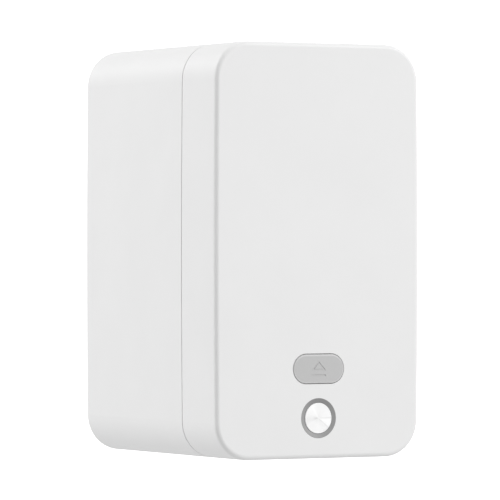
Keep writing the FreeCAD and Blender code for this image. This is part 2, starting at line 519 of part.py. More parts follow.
ring = fuse(cy_(Y_FRONT, -41.9, 0, POWER_Z, RING_R), cy_(-42.68, -41.9, 0, POWER_Z, 7.4))
ring = cut(ring, cy_(-46, -41, 0, POWER_Z, CAP_R + 0.1), Part.makeCone(RING_R - 0.1, CAP_R + 0.1, RING_DISH, V(0, Y_FRONT, POWER_Z), V(0, 1, 0)))
save("power_light_ring", ring)
bb = box(-14.0, 14.0, -36.6, -35.2, 4.8, 20.4)
bb = cut(bb, [cy_(-37, -35, sx * 11.5, 7.4, 1.15) for sx in (-1, 1)])
save("button_board", bb)
save("power_switch", fuse(box(-3.1, 3.1, -39.0, -36.62, POWER_Z - 3.1, POWER_Z + 3.1), cy_(-39.7, -38.9, 0, POWER_Z, 1.7)))
save("button_board_screws", [screw(sx * 11.5, -35.2, 7.4, (0, -1, 0), 5.0, head_r=1.6, head_h=0.9) for sx in (-1, 1)])
save("platen_bushes", both(fuse(cx_(26.4, 27.38, PLATEN_Y, PLATEN_Z, 4.8), cx_(27.2, 29.6, PLATEN_Y, PLATEN_Z, 3.98)).cut(cx_(26, 30, PLATEN_Y, PLATEN_Z, 2.55))))

w = 0.15
rb = [(-35.1, 12.0), (-33.0, 12.0), (-31.4, 10.0), (-24.9, 10.0), (-24.0, 10.6), (-23.6, 12.0), (-18.0, 12.0), (-16.6, 13.4), (-16.6, 27.0), (-15.4, 28.3), (-8.9, 28.3)]


def ribbon(path, x0, x1, t):
    lo, hi = [], []
    for i, (a, b) in enumerate(path):
        pa = path[max(i - 1, 0)]
        pb = path[min(i + 1, len(path) - 1)]
        dx, dz = pb[0] - pa[0], pb[1] - pa[1]
        n = sqrt(dx * dx + dz * dz)
        lo.append((a + dz / n * t / 2, b - dx / n * t / 2))
        hi.append((a - dz / n * t / 2, b + dx / n * t / 2))
    return polyx(lo + hi[::-1], x0, x1)


save("button_ribbon", ribbon(rb, -4.0, 4.0, 0.3))

# release button and latch slider
yb = Y_FRONT - OPEN_PROUD
ob = stadium(OPEN_W, OPEN_H, 0, OPEN_Z, yb, -41.2)
ob = ob.makeFillet(OPEN_R, [e for e in ob.Edges if abs(e.BoundBox.YMin - yb) < 1e-4 and abs(e.BoundBox.YMax - yb) < 1e-4])
C_B = -37.5 - 29.5
stem = box(-3.0, 3.0, -41.4, -35.6, 25.8, 33.0)
stem = stem.cut(polyx([(-60.0, -60.0 - C_B), (-20.0, -20.0 - C_B), (-20.0, -60.0), (-60.0, -60.0)], -4, 4))
ob = fuse(ob, stadium(22.4, 13.2, 0, OPEN_Z, -42.4, -41.2), stem)
ya = yb - 0.1


def arrow_head(a, z0, z1):
    return poly([(-a, ya, OPEN_Z + z0), (a, ya, OPEN_Z + z0), (0.0, ya, OPEN_Z + z1)], (0, SYMBOL_D + 0.1, 0))


outline = cut(arrow_head(2.6, -0.45, 2.45), arrow_head(1.66, -0.03, 1.82))
ob = cut(ob, outline, box(-2.6, 2.6, ya, yb + SYMBOL_D, OPEN_Z - 2.3, OPEN_Z - 1.8))      # release symbol: outlined arrow head over a bar
save("open_button", ob)

C_S = C_B + 0.25
sl = fuse(box(-8.0, 8.0, -38.6, -37.0, 36.6, 61.0), box(-32.9, 32.9, -38.6, -37.0, 56.0, 61.0),
          box(-8.0, -4.0, -38.6, -37.0, 23.2, 40.0), box(4.0, 8.0, -38.6, -37.0, 23.2, 40.0), box(-8.0, 8.0, -38.6, -37.0, 23.2, 30.4))
for sx in (-1, 1):
    xa, xb = sorted((sx * 29.6, sx * 32.9))
    xc, xd = sorted((sx * 30.9, sx * 32.9))
    hook = polyx([(-37.6, 87.6), (-17.4, 87.6), (-16.6, 88.4), (-16.6, 90.8), (-18.2, 93.6), (-19.3, 93.6), (-19.3, 91.6), (-37.6, 91.6)], xc, xd)
    sl = fuse(sl, box(xa, xb, -38.6, -37.0, 56.0, 91.6), hook)
sl = cut(sl, polyx([(-60.0, -60.0 - C_S), (-20.0, -20.0 - C_S), (-20.0, 34.0), (-60.0, 34.0)], -3.9, 3.9))
save("latch_slider", sl)
save("latch_return_springs", [coil(xx, -37.8, 46.2, "z", 1.6, 0.55, 9.75, 6) for xx in (-15.0, 15.0)])

# power button
CAP_Y = Y_FRONT + CAP_DEEP
cap = cy_(CAP_Y, -43.4, 0, POWER_Z, CAP_R)
cap = cap.makeFillet(0.15, [e for e in cap.Edges if abs(e.BoundBox.YMax - CAP_Y) < 1e-4])
save("power_button_cap", cap)
save("power_button_stem", fuse(cy_(-43.39, -40.5, 0, POWER_Z, 4.2), cy_(-41.6, -40.6, 0, POWER_Z, 6.4)))

# platen
save("platen_rubber", cx_(-26.0, 26.0, PLATEN_Y, PLATEN_Z, PLATEN_R).cut(cx_(-27, 27, PLATEN_Y, PLATEN_Z, 2.51)))
save("platen_shaft", cx_(-30.4, 33.2, PLATEN_Y, PLATEN_Z, 2.5))
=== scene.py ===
import bpy
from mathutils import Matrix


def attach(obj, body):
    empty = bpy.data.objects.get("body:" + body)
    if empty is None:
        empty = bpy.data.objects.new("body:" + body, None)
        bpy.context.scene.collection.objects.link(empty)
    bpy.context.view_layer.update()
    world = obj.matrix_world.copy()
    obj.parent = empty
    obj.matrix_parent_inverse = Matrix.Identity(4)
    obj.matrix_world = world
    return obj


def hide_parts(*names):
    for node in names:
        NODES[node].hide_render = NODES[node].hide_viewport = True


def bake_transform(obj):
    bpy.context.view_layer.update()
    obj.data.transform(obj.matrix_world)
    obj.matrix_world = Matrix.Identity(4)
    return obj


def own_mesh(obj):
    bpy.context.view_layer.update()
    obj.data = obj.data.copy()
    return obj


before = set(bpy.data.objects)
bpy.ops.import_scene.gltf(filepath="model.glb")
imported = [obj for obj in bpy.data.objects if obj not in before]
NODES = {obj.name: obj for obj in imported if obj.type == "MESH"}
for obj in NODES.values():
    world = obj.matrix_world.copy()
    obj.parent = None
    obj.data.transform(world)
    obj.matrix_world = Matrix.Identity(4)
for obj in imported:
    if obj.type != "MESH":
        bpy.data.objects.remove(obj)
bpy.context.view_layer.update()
import bpy, bmesh, math
from math import sin, cos, pi, radians, sqrt
from mathutils import Vector, Matrix

S = bpy.context.scene
COL = S.collection
MM = 0.001

# ------------------------------------------------------------------ camera: level with mid-height, 29 degrees to the left of the front
YAW = radians(29.19)
right = Vector((cos(YAW), -sin(YAW), 0))
fwd = Vector((sin(YAW), cos(YAW), 0))
centre = Vector((0, 0, 0.0669))
cam_data = bpy.data.cameras.new("camera")
cam = bpy.data.objects.new("camera", cam_data)
COL.objects.link(cam)
cam.location = centre - fwd * 1.3976 - right * 0.000009 + Vector((0, 0, 0.000211))
cam.rotation_euler = (radians(90), 0, -YAW)
cam_data.sensor_width = 36.0
cam_data.lens = 4249.9 * 36.0 / 500.0
cam_data.clip_start, cam_data.clip_end = 0.05, 30.0
S.camera = cam
S.view_settings.view_transform = "Standard"
S.view_settings.look = "None"


# ------------------------------------------------------------------ node helpers
def new_mat(name):
    m = bpy.data.materials.new(name)
    m.use_nodes = True
    nt = m.node_tree
    for n in list(nt.nodes):
        nt.nodes.remove(n)
    out = nt.nodes.new("ShaderNodeOutputMaterial")
    bsdf = nt.nodes.new("ShaderNodeBsdfPrincipled")
    nt.links.new(bsdf.outputs[0], out.inputs[0])
    return m, nt, bsdf


def nd(nt, kind, **kw):
    n = nt.nodes.new(kind)
    for k, v in kw.items():
        if k.startswith("i_"):
            key = k[2:]
            n.inputs[int(key) if key.isdigit() else key.replace("_", " ")].default_value = v
        else:
            setattr(n, k, v)
    return n


def ramp(nt, fac, stops):
    r = nt.nodes.new("ShaderNodeValToRGB")
    e = r.color_ramp.elements
    while len(e) > 1:
        e.remove(e[-1])
    e[0].position, e[0].color = stops[0][0], tuple(stops[0][1]) + (1,)
    for p, c in stops[1:]:
        k = e.new(p)
        k.color = tuple(c) + (1,)
    nt.links.new(fac, r.inputs[0])
    return r


def grey(v):
    return (v, v, v)


def obj_coords(nt):
    return nt.nodes.new("ShaderNodeTexCoord").outputs["Object"]


def bump(nt, height, bsdf, strength, dist, chain=None):
    b = nd(nt, "ShaderNodeBump", i_Strength=strength, i_Distance=dist)
    nt.links.new(height, b.inputs["Height"])
    if chain is not None:
        nt.links.new(chain, b.inputs["Normal"])
    nt.links.new(b.outputs[0], bsdf.inputs["Normal"])
    return b.outputs[0]


def plastic(name, base, rough, grain_mm, grain_h, spread=0.03, tint=(1, 1, 1), spec=0.5, sub=0.0, coat=0.0):
    """Moulded plastic: spark-eroded grain, faint mottling of colour and gloss."""
    m, nt, b = new_mat(name)
    co = obj_coords(nt)
    big = nd(nt, "ShaderNodeTexNoise", i_Scale=55.0, i_Detail=3.0, i_Roughness=0.55)
    nt.links.new(co, big.inputs["Vector"])
    lo = tuple(base * (1 - spread) * t for t in tint)
    hi = tuple(base * (1 + spread) * t for t in tint)
    c = ramp(nt, big.outputs["Fac"], [(0.3, lo), (0.7, hi)])
    nt.links.new(c.outputs[0], b.inputs["Base Color"])
    fine = nd(nt, "ShaderNodeTexNoise", i_Scale=1000.0 / grain_mm, i_Detail=2.0, i_Roughness=0.5)
    nt.links.new(co, fine.inputs["Vector"])
    r = nd(nt, "ShaderNodeMapRange", i_1=0.3, i_2=0.7, i_3=rough * 0.88, i_4=rough * 1.12)
    nt.links.new(fine.outputs["Fac"], r.inputs[0])
    nt.links.new(r.outputs[0], b.inputs["Roughness"])
    bump(nt, fine.outputs["Fac"], b, 1.0, grain_h * MM)
    b.inputs["Specular IOR Level"].default_value = spec
    if sub:
        b.inputs["Subsurface Weight"].default_value = sub
        b.inputs["Subsurface Radius"].default_value = (0.0012, 0.0011, 0.001)
        b.inputs["Subsurface Scale"].default_value = 1.0
    if coat:
        b.inputs["Coat Weight"].default_value = coat
        b.inputs["Coat Roughness"].default_value = 0.15
    return m


def metal(name, base, rough, axis, stretch=60.0, tint=(1, 1, 1), scale=900.0):
    """Brushed or drawn metal: fine scratches along one axis of the part, with small stains."""
    m, nt, b = new_mat(name)
    co = obj_coords(nt)
    mp = nd(nt, "ShaderNodeMapping")
    sc = [scale, scale, scale]
    sc["xyz".index(axis)] = scale / stretch
    mp.inputs["Scale"].default_value = sc
    nt.links.new(co, mp.inputs["Vector"])
    n = nd(nt, "ShaderNodeTexNoise", i_Scale=1.0, i_Detail=4.0, i_Roughness=0.6)
    nt.links.new(mp.outputs[0], n.inputs["Vector"])
    c = ramp(nt, n.outputs["Fac"], [(0.25, tuple(base * 0.86 * t for t in tint)), (0.75, tuple(min(1, base * 1.1) * t for t in tint))])
    nt.links.new(c.outputs[0], b.inputs["Base Color"])
    b.inputs["Metallic"].default_value = 1.0
    st = nd(nt, "ShaderNodeTexNoise", i_Scale=180.0, i_Detail=2.0)
    nt.links.new(co, st.inputs["Vector"])
    r = nd(nt, "ShaderNodeMapRange", i_1=0.3, i_2=0.7, i_3=rough * 0.8, i_4=rough * 1.25)
    nt.links.new(st.outputs["Fac"], r.inputs[0])
    nt.links.new(r.outputs[0], b.inputs["Roughness"])
    bump(nt, n.outputs["Fac"], b, 0.35, 0.01 * MM)
    return m


# ------------------------------------------------------------------ materials
M = {}
M["white"] = plastic("white_case_plastic", 0.80, 0.42, 0.28, 0.0016, spread=0.008, spec=0.45)
M["frame"] = plastic("inner_frame_plastic", 0.62, 0.55, 0.35, 0.004, spread=0.02)
M["dark"] = plastic("black_moulded_plastic", 0.022, 0.5, 0.3, 0.004, spread=0.12)
M["guide"] = plastic("grey_guide_plastic", 0.17, 0.45, 0.3, 0.003, spread=0.05, tint=(0.97, 1.0, 1.04))
M["gear"] = plastic("acetal", 0.72, 0.32, 0.5, 0.002, spread=0.02, tint=(1.0, 0.98, 0.92))
M["button"] = plastic("release_button_plastic", 0.50, 0.46, 0.25, 0.0015, spread=0.012)
M["film"] = plastic("white_film", 0.75, 0.25, 1.2, 0.002, spread=0.02)
M["wrap"] = plastic("cell_sleeve", 0.18, 0.22, 2.5, 0.01, spread=0.06, tint=(0.5, 0.9, 1.6), coat=0.4)
M["rubber"] = plastic("black_rubber", 0.018, 0.75, 0.4, 0.01, spread=0.2, spec=0.3)
M["platen"] = plastic("platen_rubber", 0.03, 0.6, 0.25, 0.006, spread=0.1, spec=0.35)
M["steel_x"] = metal("steel_drawn", 0.58, 0.28, "x")
M["steel_z"] = metal("steel_brushed", 0.55, 0.32, "z")
M["spring"] = metal("spring_wire", 0.45, 0.25, "x", stretch=8)
M["alu"] = metal("aluminium_milled", 0.50, 0.42, "x", stretch=40)
M["bronze"] = metal("sintered_bronze", 0.50, 0.42, "x", stretch=3, tint=(1.15, 0.85, 0.5))

# the rounded rim of the release button is painted paler than its face, most of all along its upper edge: a painted
# highlight where the rim's fillet would catch the light from above, with a fainter painted highlight along its lower
# edge
nt = M["button"].node_tree
b = next(n for n in nt.nodes if n.type == "BSDF_PRINCIPLED")
face = b.inputs["Base Color"].links[0].from_socket
sep = nt.nodes.new("ShaderNodeSeparateXYZ")
nt.links.new(obj_coords(nt), sep.inputs[0])
ax = nd(nt, "ShaderNodeMath", operation="ABSOLUTE")
nt.links.new(sep.outputs["X"], ax.inputs[0])
end = nd(nt, "ShaderNodeMath", operation="SUBTRACT", i_1=4.66 * MM)
nt.links.new(ax.outputs[0], end.inputs[0])
end0 = nd(nt, "ShaderNodeMath", operation="MAXIMUM", i_1=0.0)
nt.links.new(end.outputs[0], end0.inputs[0])
dz = nd(nt, "ShaderNodeMath", operation="SUBTRACT", i_1=29.15 * MM)
nt.links.new(sep.outputs["Z"], dz.inputs[0])
e2 = nd(nt, "ShaderNodeMath", operation="MULTIPLY")
nt.links.new(end0.outputs[0], e2.inputs[0]); nt.links.new(end0.outputs[0], e2.inputs[1])
d2 = nd(nt, "ShaderNodeMath", operation="MULTIPLY_ADD")
nt.links.new(dz.outputs[0], d2.inputs[0]); nt.links.new(dz.outputs[0], d2.inputs[1]); nt.links.new(e2.outputs[0], d2.inputs[2])
rad = nd(nt, "ShaderNodeMath", operation="SQRT")
nt.links.new(d2.outputs[0], rad.inputs[0])


def span(src, a, b_, u, v):
    k = nd(nt, "ShaderNodeMapRange", i_1=a * MM, i_2=b_ * MM, i_3=u, i_4=v)
    nt.links.new(src, k.inputs[0])
    return k.outputs[0]


def times(p, q):
    k = nd(nt, "ShaderNodeMath", operation="MULTIPLY")
    nt.links.new(p, k.inputs[0]); nt.links.new(q, k.inputs[1])
    return k.outputs[0]


lower_rim_highlight = times(span(rad.outputs[0], 4.10, 4.45, 0.0, 1.0), span(dz.outputs[0], -4.69, 2.5, 0.32, 0.03))
upper_rim_highlight = times(times(span(rad.outputs[0], 3.98, 4.15, 0.0, 1.0), span(rad.outputs[0], 4.33, 4.47, 1.0, 0.0)), span(dz.outputs[0], 1.5, 4.1, 0.0, 0.34))
painted_light_amount = nd(nt, "ShaderNodeMath", operation="ADD")
nt.links.new(lower_rim_highlight, painted_light_amount.inputs[0]); nt.links.new(upper_rim_highlight, painted_light_amount.inputs[1])
# painted highlight: the rim's colour is mixed towards this pale grey
pale = nd(nt, "ShaderNodeMixRGB", blend_type="MIX")
pale.inputs[2].default_value = (0.86, 0.86, 0.86, 1)
nt.links.new(painted_light_amount.outputs[0], pale.inputs[0])
nt.links.new(face, pale.inputs[1])
nt.links.new(pale.outputs[0], b.inputs["Base Color"])

# print head substrate: glazed ceramic, a dark heater line on a raised glaze strip, and gold tracks running down from it
m, nt, b = new_mat("glazed_substrate")
co = obj_coords(nt)
sep = nt.nodes.new("ShaderNodeSeparateXYZ")
nt.links.new(co, sep.inputs[0])
off = nd(nt, "ShaderNodeMath", operation="SUBTRACT", i_1=117.6 * MM)
nt.links.new(sep.outputs["Z"], off.inputs[0])
dist = nd(nt, "ShaderNodeMath", operation="ABSOLUTE")
nt.links.new(off.outputs[0], dist.inputs[0])
near = nd(nt, "ShaderNodeMapRange", i_1=0.0, i_2=8 * MM, i_3=0.0, i_4=1.0)
nt.links.new(dist.outputs[0], near.inputs[0])
body = ramp(nt, near.outputs[0], [(0.0, (0.085, 0.06, 0.045)), (0.020, (0.085, 0.06, 0.045)), (0.032, (0.80, 0.78, 0.73)), (0.10, (0.78, 0.76, 0.70)), (0.125, (0.64, 0.62, 0.575))])
wv = nd(nt, "ShaderNodeTexWave", wave_type="BANDS", bands_direction="X", i_Scale=450.0, i_Distortion=0.0)
nt.links.new(co, wv.inputs["Vector"])
below = nd(nt, "ShaderNodeMapRange", i_1=-0.9 * MM, i_2=-0.6 * MM, i_3=0.75, i_4=0.0)
nt.links.new(off.outputs[0], below.inputs[0])
track = nd(nt, "ShaderNodeMath", operation="MULTIPLY")
nt.links.new(wv.outputs["Fac"], track.inputs[0])
nt.links.new(below.outputs[0], track.inputs[1])
mix = nd(nt, "ShaderNodeMixRGB", blend_type="MIX")
mix.inputs[2].default_value = (0.50, 0.37, 0.16, 1)
nt.links.new(track.outputs[0], mix.inputs[0])
nt.links.new(body.outputs[0], mix.inputs[1])
nt.links.new(mix.outputs[0], b.inputs["Base Color"])
b.inputs["Roughness"].default_value = 0.16
b.inputs["Coat Weight"].default_value = 0.5
b.inputs["Coat Roughness"].default_value = 0.12
bump(nt, track.outputs[0], b, 0.4, 0.01 * MM)
M["ceramic"] = m

# grey ring round the power button
m, nt, b = new_mat("power_ring_plastic")
co = obj_coords(nt)
n1 = nd(nt, "ShaderNodeTexNoise", i_Scale=300.0, i_Detail=2.0)
nt.links.new(co, n1.inputs["Vector"])
c = ramp(nt, n1.outputs["Fac"], [(0.3, grey(0.280)), (0.7, grey(0.298))])
# painted shade: the light guide is painted lighter on its left side and darker on its right, and darker at its upper
# end and foot, standing in for how the light falls across its shallow dish
sep = nt.nodes.new("ShaderNodeSeparateXYZ")
nt.links.new(co, sep.inputs[0])
side = nd(nt, "ShaderNodeMapRange", i_1=-6.4 * MM, i_2=6.4 * MM, i_3=1.10, i_4=0.96)
nt.links.new(sep.outputs["X"], side.inputs[0])
painted_side_shade_colour = nd(nt, "ShaderNodeMixRGB", blend_type="MULTIPLY", i_Fac=1.0)
nt.links.new(c.outputs[0], painted_side_shade_colour.inputs[1])
nt.links.new(side.outputs[0], painted_side_shade_colour.inputs[2])
high = nd(nt, "ShaderNodeMapRange", i_1=(13.36 - 6.4) * MM, i_2=(13.36 + 6.4) * MM, i_3=0.0, i_4=1.0)
nt.links.new(sep.outputs["Z"], high.inputs[0])
shade = ramp(nt, high.outputs[0], [(0.0, grey(0.90)), (0.10, grey(0.93)), (0.20, grey(1.0)), (0.70, grey(1.0)), (0.82, grey(0.93)), (1.0, grey(0.845))])
# painted shade multiplied into the ring's colour, darker at its upper end and foot
painted_shade_colour = nd(nt, "ShaderNodeMixRGB", blend_type="MULTIPLY", i_Fac=1.0)
nt.links.new(painted_side_shade_colour.outputs[0], painted_shade_colour.inputs[1])
nt.links.new(shade.outputs[0], painted_shade_colour.inputs[2])
nt.links.new(painted_shade_colour.outputs[0], b.inputs["Base Color"])
b.inputs["Roughness"].default_value = 0.38
bump(nt, n1.outputs["Fac"], b, 0.4, 0.004 * MM)
M["ring"] = m

# spun metal cap: fine circular turning, with a radial sheen painted into its colour
m, nt, b = new_mat("spun_metal_cap")
co = obj_coords(nt)
mp = nd(nt, "ShaderNodeMapping")
mp.inputs["Location"].default_value = (0, 0, -13.36 * MM)
nt.links.new(co, mp.inputs["Vector"])
sep = nt.nodes.new("ShaderNodeSeparateXYZ")
nt.links.new(mp.outputs[0], sep.inputs[0])
at = nd(nt, "ShaderNodeMath", operation="ARCTAN2")
nt.links.new(sep.outputs["Z"], at.inputs[0])
nt.links.new(sep.outputs["X"], at.inputs[1])
x2 = nd(nt, "ShaderNodeMath", operation="MULTIPLY")
nt.links.new(sep.outputs["X"], x2.inputs[0]); nt.links.new(sep.outputs["X"], x2.inputs[1])
z2 = nd(nt, "ShaderNodeMath", operation="MULTIPLY")
nt.links.new(sep.outputs["Z"], z2.inputs[0]); nt.links.new(sep.outputs["Z"], z2.inputs[1])
rr = nd(nt, "ShaderNodeMath", operation="ADD")
nt.links.new(x2.outputs[0], rr.inputs[0]); nt.links.new(z2.outputs[0], rr.inputs[1])
rad = nd(nt, "ShaderNodeMath", operation="SQRT")
nt.links.new(rr.outputs[0], rad.inputs[0])
comb = nt.nodes.new("ShaderNodeCombineXYZ")
radk = nd(nt, "ShaderNodeMath", operation="MULTIPLY", i_1=9000.0)
nt.links.new(rad.outputs[0], radk.inputs[0])
nt.links.new(radk.outputs[0], comb.inputs[0])
turn = nd(nt, "ShaderNodeTexNoise", i_Scale=1.0, i_Detail=3.0, i_Roughness=0.7)
nt.links.new(comb.outputs[0], turn.inputs["Vector"])
# painted reflection: soft fans of light and two or three fine dark rays of a conic sheen, painted into the base colour
# and fixed to the metal
turnfrac = nd(nt, "ShaderNodeMapRange", i_1=-pi, i_2=pi, i_3=0.0, i_4=1.0)
nt.links.new(at.outputs[0], turnfrac.inputs[0])
painted_sheen = ramp(nt, turnfrac.outputs[0], [(0.0, grey(0.79)), (0.042, grey(0.80)), (0.083, grey(0.87)), (0.167, grey(0.87)), (0.25, grey(0.90)), (0.333, grey(0.845)),
                                    (0.376, grey(0.84)), (0.390, grey(0.74)), (0.405, grey(0.88)), (0.44, grey(0.91)), (0.486, grey(0.89)), (0.503, grey(0.74)), (0.520, grey(0.87)),
                                    (0.583, grey(0.885)), (0.667, grey(0.875)), (0.76, grey(0.87)), (0.80, grey(0.90)), (0.833, grey(0.95)), (0.867, grey(0.89)),
                                    (0.917, grey(0.865)), (0.972, grey(0.82)), (1.0, grey(0.79))])
mix = nd(nt, "ShaderNodeMixRGB", blend_type="OVERLAY", i_Fac=0.06)
nt.links.new(painted_sheen.outputs[0], mix.inputs[1])
nt.links.new(turn.outputs["Fac"], mix.inputs[2])
# painted shade: the rays are painted darker where they meet at the centre, most of all in the fan on the left
fan = ramp(nt, turnfrac.outputs[0], [(0.0, grey(1.0)), (0.03, grey(1.0)), (0.07, grey(0.3)), (0.36, grey(0.3)), (0.39, grey(1.0)), (0.415, grey(0.15)),
                                     (0.485, grey(0.15)), (0.503, grey(0.85)), (0.53, grey(0.2)), (0.90, grey(0.15)), (0.96, grey(1.0)), (1.0, grey(1.0))])
close = nd(nt, "ShaderNodeMapRange", interpolation_type="SMOOTHSTEP", i_1=0.4 * MM, i_2=2.5 * MM, i_3=0.19, i_4=0.0)
nt.links.new(rad.outputs[0], close.inputs[0])
painted_light_amount = nd(nt, "ShaderNodeMath", operation="MULTIPLY")
nt.links.new(fan.outputs[0], painted_light_amount.inputs[0])
nt.links.new(close.outputs[0], painted_light_amount.inputs[1])
meet = nd(nt, "ShaderNodeMath", operation="SUBTRACT", i_0=1.0)
nt.links.new(painted_light_amount.outputs[0], meet.inputs[1])
dark = nd(nt, "ShaderNodeMixRGB", blend_type="MULTIPLY", i_Fac=1.0)
nt.links.new(mix.outputs[0], dark.inputs[1])
nt.links.new(meet.outputs[0], dark.inputs[2])
nt.links.new(dark.outputs[0], b.inputs["Base Color"])
b.inputs["Metallic"].default_value = 0.12
b.inputs["Roughness"].default_value = 0.40
b.inputs["Anisotropic"].default_value = 0.5
tg = nd(nt, "ShaderNodeTangent", direction_type="RADIAL", axis="Y")
nt.links.new(tg.outputs[0], b.inputs["Tangent"])
bump(nt, turn.outputs["Fac"], b, 0.5, 0.002 * MM)
M["cap"] = m

# circuit board: solder mask with copper tracks under it
m, nt, b = new_mat("circuit_board")
co = obj_coords(nt)
br = nd(nt, "ShaderNodeTexBrick", i_Scale=260.0, i_4=1.0)
br.inputs["Color1"].default_value = (0.012, 0.085, 0.035, 1)
br.inputs["Color2"].default_value = (0.016, 0.10, 0.045, 1)
br.inputs["Mortar"].default_value = (0.03, 0.17, 0.07, 1)
br.inputs["Mortar Size"].default_value = 0.03
nt.links.new(co, br.inputs["Vector"])
nt.links.new(br.outputs["Color"], b.inputs["Base Color"])
b.inputs["Roughness"].default_value = 0.3
bump(nt, br.outputs["Fac"], b, 0.6, 0.02 * MM)
M["board"] = m

USE = {
    "rear_shell": "white", "front_cover": "white", "roll_bay_frame": "frame", "cover_inner_panel": "frame", "rubber_feet": "rubber",
    "battery_pack": "wrap", "main_board": "board", "board_components": "dark", "usb_c_socket": "steel_z", "board_screws": "steel_z",
    "frame_screws": "steel_z", "hinge_rods": "steel_x", "hinge_torsion_springs": "spring", "latch_catch_springs": "steel_z", "catch_screws": "steel_z",
    "tear_bar": "steel_z", "gap_sensor": "dark", "cover_switch": "dark", "stepper_motor": "steel_x", "motor_screws": "steel_z", "gear_axles": "steel_x",
    "head_pivot_pin": "steel_x", "head_springs": "spring", "rack_cover": "steel_z", "rack_cover_screws": "steel_z", "head_ribbon": "film",
    "platen_gear": "gear", "idler_gear": "gear", "reduction_gear": "gear", "motor_pinion": "bronze", "motor_shaft": "steel_x",
    "print_head_ceramic": "ceramic", "print_head_driver_cover": "dark", "print_head_heatsink": "alu", "print_head_bracket": "steel_x",
    "right_roll_guide": "guide", "left_roll_guide": "guide", "guide_pinion": "gear", "panel_screws": "steel_z", "power_light_ring": "ring",
    "button_board": "board", "power_switch": "dark", "button_board_screws": "steel_z", "platen_bushes": "bronze", "button_ribbon": "film",
    "open_button": "button", "latch_slider": "dark", "latch_return_springs": "spring", "power_button_cap": "cap", "power_button_stem": "dark",
    "platen_rubber": "platen", "platen_shaft": "steel_x",
}
for name, o in NODES.items():
    o.data.materials.clear()
    o.data.materials.append(M[USE[name]])

# flat ribbon: white film with eight conductors showing through along it
m, nt, b = new_mat("ribbon_film")
co = obj_coords(nt)
wv = nd(nt, "ShaderNodeTexWave", wave_type="BANDS", bands_direction="X", i_Scale=320.0, i_Distortion=0.0)
nt.links.new(co, wv.inputs["Vector"])
c = ramp(nt, wv.outputs["Fac"], [(0.35, (0.78, 0.78, 0.75)), (0.6, (0.50, 0.50, 0.49)), (1.0, (0.46, 0.46, 0.46))])
nt.links.new(c.outputs[0], b.inputs["Base Color"])
b.inputs["Roughness"].default_value = 0.28
bump(nt, wv.outputs["Fac"], b, 0.6, 0.03 * MM)
M["ribbon"] = m


# ------------------------------------------------------------------ springs and ribbon
def piece(name, verts, faces, mat, body=None):
    me = bpy.data.meshes.new(name)
    me.from_pydata(verts, [], faces)
    me.validate()
    bm = bmesh.new()
    bm.from_mesh(me)
    bmesh.ops.recalc_face_normals(bm, faces=bm.faces)
    bm.to_mesh(me)
    bm.free()
    for f in me.polygons:
        f.use_smooth = True
    o = bpy.data.objects.new(name, me)
    COL.objects.link(o)
    me.materials.append(mat)
    if body:
        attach(o, body)
    return o


def spring(verts, faces, origin, axis, r, wire, length, turns, inset=0.02):
    """Coil spring with closed end coils: a tube swept along a helix whose pitch tightens at both ends."""
    around, per = 10, 30
    n = int(turns * per)
    a = Vector(axis)
    u = Vector((1, 0, 0)) if abs(a.x) < 0.5 else Vector((0, 1, 0))
    v = a.cross(u)
    span = length - wire - 2 * inset
    rise = [0.0]
    for k in range(n):
        t = (k + 0.5) / n
        e = min(t, 1 - t) * turns                       # turns from the nearer end
        rise.append(rise[-1] + (0.45 if e < 0.9 else 1.0))
    rise = [span * q / rise[-1] for q in rise]
    path = []
    for k in range(n + 1):
        w = 2 * pi * turns * k / n
        path.append(Vector(origin) + a * (inset + wire / 2 + rise[k]) + (u * cos(w) + v * sin(w)) * r)
    base = len(verts)
    for k, p in enumerate(path):
        tan = (path[min(k + 1, n)] - path[max(k - 1, 0)]).normalized()
        w = 2 * pi * turns * k / n
        out = u * cos(w) + v * sin(w)
        side = tan.cross(out).normalized()
        out = side.cross(tan).normalized()
        for q in range(around):
            g = 2 * pi * q / around
            verts.append(tuple((p + (out * cos(g) + side * sin(g)) * wire / 2) * MM))
    for k in range(n):
        for q in range(around):
            q2 = (q + 1) % around
            faces.append((base + k * around + q, base + k * around + q2, base + (k + 1) * around + q2, base + (k + 1) * around + q))
    faces.append(tuple(base + q for q in reversed(range(around))))
    faces.append(tuple(base + n * around + q for q in range(around)))


vs, fs = [], []
for x in (-15.0, 15.0):
    spring(vs, fs, (x, -37.8, 45.8), (0, 0, 1), 1.6, 0.55, 9.75, 6)
o = piece("latch_spring_coils", vs, fs, M["spring"], "cover")
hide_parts("latch_return_springs")
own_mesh(o)

vs, fs = [], []
for x in (-14.0, 14.0):
    spring(vs, fs, (x, -18.62, 119.1), (0, 1, 0), 2.1, 0.7, 6.0, 4)
o = piece("head_spring_coils", vs, fs, M["spring"], "case")
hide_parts("head_springs")
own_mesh(o)

# ribbon from the button board, past the hinge, to the main board
ROUTE = [(-35.1, 11.6), (-33.0, 11.6), (-31.4, 9.6), (-24.9, 9.6), (-24.0, 10.2), (-23.6, 11.6), (-18.0, 11.6), (-16.6, 13.0), (-16.6, 26.6), (-15.4, 27.9), (-8.9, 27.9)]
line = [Vector(ROUTE[0])]
for k in range(1, len(ROUTE) - 1):
    a = (Vector(ROUTE[k - 1]) + Vector(ROUTE[k])) / 2 if k > 1 else Vector(ROUTE[0])
    b2 = (Vector(ROUTE[k]) + Vector(ROUTE[k + 1])) / 2 if k < len(ROUTE) - 2 else Vector(ROUTE[-1])
    c2 = Vector(ROUTE[k])
    # each corner is turned with an arc-like curve close to it
    la, lb = (c2 - a).length, (b2 - c2).length
    d = min(la, lb, 1.6)
    a1, b1 = c2 + (a - c2).normalized() * d, c2 + (b2 - c2).normalized() * d
    for q in range(9):
        t = q / 8
        line.append(a1 * (1 - t) ** 2 + c2 * 2 * t * (1 - t) + b1 * t * t)
line.append(Vector(ROUTE[-1]))
dense = [line[0]]
